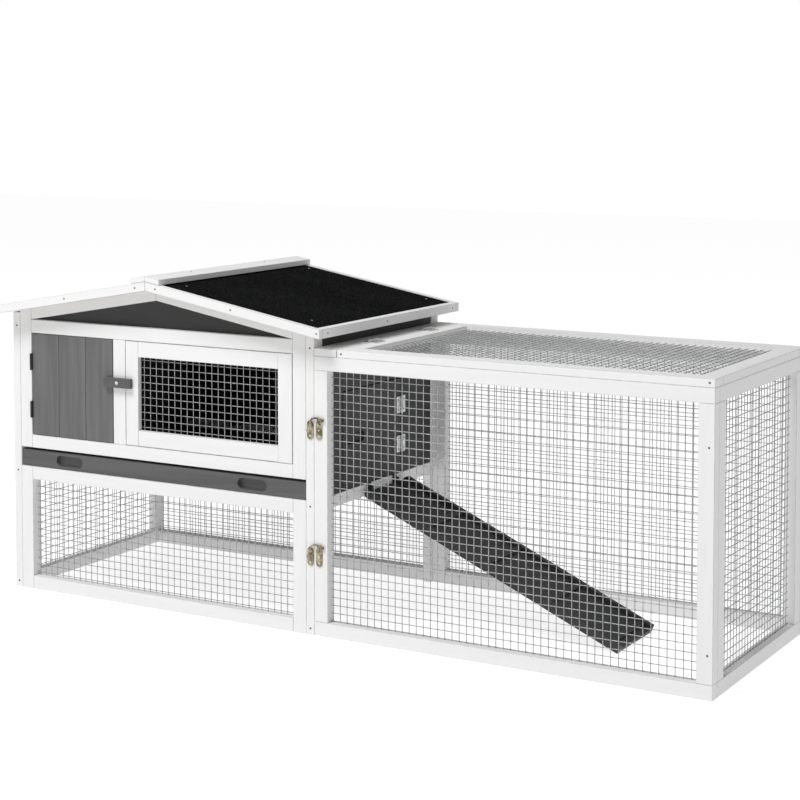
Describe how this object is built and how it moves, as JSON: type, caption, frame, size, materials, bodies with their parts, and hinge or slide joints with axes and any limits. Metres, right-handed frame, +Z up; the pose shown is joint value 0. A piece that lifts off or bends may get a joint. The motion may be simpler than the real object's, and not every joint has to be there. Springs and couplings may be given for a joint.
{
  "type": "rabbit hutch",
  "caption": "Two-storey wooden rabbit hutch with a gabled felt roof, slide-out tray, ramp and an attached wire mesh run.",
  "frame": {"origin": "on the floor, under the middle of the object's box", "axes": "+X along the front from the hutch to the run, +Y from front to back, +Z up"},
  "size_m": [1.572, 0.548, 0.6703],
  "materials": {
    "white_paint": "matt white paint on softwood, faint grain",
    "grey_stain": "dark grey stain, vertical grain showing",
    "slate_stain": "slate grey stain, a shade darker than the nest door",
    "dull_steel": "dull steel screw heads",
    "charcoal_stain": "charcoal stain, grain faint",
    "tray_sheet": "dark coated sheet",
    "bare_wood": "unpainted softwood and plywood",
    "roof_felt": "mineral roofing felt, fine grit",
    "galvanised_wire": "welded mesh, dull zinc",
    "zinc": "zinc plated",
    "black_metal": "satin black",
    "antique_brass": "antique brass with dark recesses"
  },
  "bodies": {
    "hutch": {"back_boards": "charcoal_stain", "back_posts": "white_paint", "back_rails": "white_paint", "front_posts": "white_paint", "front_rails": "white_paint", "front_screws": "dull_steel", "gable_boards": "charcoal_stain", "gable_rafters": "white_paint", "latch_plates": "antique_brass", "left_roof_deck": "bare_wood", "left_roof_edging": "white_paint", "left_roof_felt": "roof_felt", "left_wall_boards": "charcoal_stain", "left_wall_frame": "white_paint", "lower_back_mesh": "galvanised_wire", "lower_front_mesh": "galvanised_wire", "lower_left_mesh": "galvanised_wire", "mesh_door_pins": "zinc", "nest_hinge_fixed": "black_metal", "nest_partition": "charcoal_stain", "ramp_brackets": "black_metal", "right_wall_boards": "charcoal_stain", "right_wall_frame": "white_paint", "run_back_mesh": "galvanised_wire", "run_back_rails": "white_paint", "run_back_stiles": "white_paint", "run_end_mesh": "galvanised_wire", "run_end_rails": "white_paint", "run_end_stiles": "white_paint", "run_front_mesh": "galvanised_wire", "run_front_rails": "white_paint", "run_front_stiles": "white_paint", "surface_hinge_fixed": "zinc", "top_strip": "white_paint", "tray_runners": "white_paint"},
    "tray": {"tray_pan": "tray_sheet", "tray_front": "slate_stain"},
    "nest_door": {"nest_door_boards": "grey_stain", "nest_door_battens": "grey_stain", "nest_hinge_moving": "black_metal"},
    "mesh_door": {"mesh_door_frame": "white_paint", "mesh_door_mesh": "galvanised_wire"},
    "turn_button": {"turn_button": "slate_stain"},
    "top_panel": {"top_panel_frame": "white_paint", "top_panel_mesh": "galvanised_wire", "top_hinge_moving": "zinc", "top_panel_screws": "dull_steel"},
    "roof_lid": {"right_roof_deck": "bare_wood", "right_roof_felt": "roof_felt", "right_roof_edging": "white_paint", "ridge_cap": "white_paint", "roof_hinge_moving": "zinc"},
    "ramp": {"ramp_deck": "charcoal_stain", "ramp_side_rails": "charcoal_stain", "ramp_cleats": "charcoal_stain", "ramp_hooks": "black_metal"},
    "side_door": {"side_door": "charcoal_stain", "side_hinge_moving": "zinc"},
    "upper_latch": {"latch_high_arm": "antique_brass"},
    "lower_latch": {"latch_low_arm": "antique_brass"}
  },
  "joints": [
    {"name": "tray_slide", "type": "slide", "parent": "hutch", "child": "tray", "axis": [0, -1, 0], "range_m": [0, 0.4]},
    {"name": "nest_door_hinge", "type": "hinge", "parent": "hutch", "child": "nest_door", "pos_m": [-0.7019, -0.2409, 0.425], "axis": [0, 0, -1], "range_deg": [0, 110]},
    {"name": "mesh_door_pivot", "type": "hinge", "parent": "hutch", "child": "mesh_door", "pos_m": [-0.0657, -0.2335, 0.429], "axis": [0, 0, 1], "range_deg": [0, 110]},
    {"name": "turn_button_screw", "type": "hinge", "parent": "hutch", "child": "turn_button", "pos_m": [-0.4743, -0.243, 0.4485], "axis": [0, 1, 0], "range_deg": [0, 90]},
    {"name": "top_panel_hinge", "type": "hinge", "parent": "hutch", "child": "top_panel", "pos_m": [0.03925, 0, 0.5519], "axis": [0, -1, 0], "range_deg": [0, 90]},
    {"name": "roof_hinge", "type": "hinge", "parent": "hutch", "child": "roof_lid", "pos_m": [-0.4179, 0, 0.6538], "axis": [0, -1, 0], "range_deg": [0, 95]},
    {"name": "ramp_hinge", "type": "hinge", "parent": "hutch", "child": "ramp", "pos_m": [-0.0065, 0.016, 0.248], "axis": [0, -1, 0], "range_deg": [0, 20]},
    {"name": "side_door_hinge", "type": "hinge", "parent": "hutch", "child": "side_door", "pos_m": [-0.0091, 0.0909, 0.356], "axis": [0, 0, 1], "range_deg": [0, 100]},
    {"name": "upper_latch_pivot", "type": "hinge", "parent": "hutch", "child": "upper_latch", "pos_m": [-0.019, -0.241, 0.404], "axis": [0, -1, 0], "range_deg": [0, 120]},
    {"name": "lower_latch_pivot", "type": "hinge", "parent": "hutch", "child": "lower_latch", "pos_m": [-0.019, -0.241, 0.162], "axis": [0, -1, 0], "range_deg": [0, 120]}
  ]
}
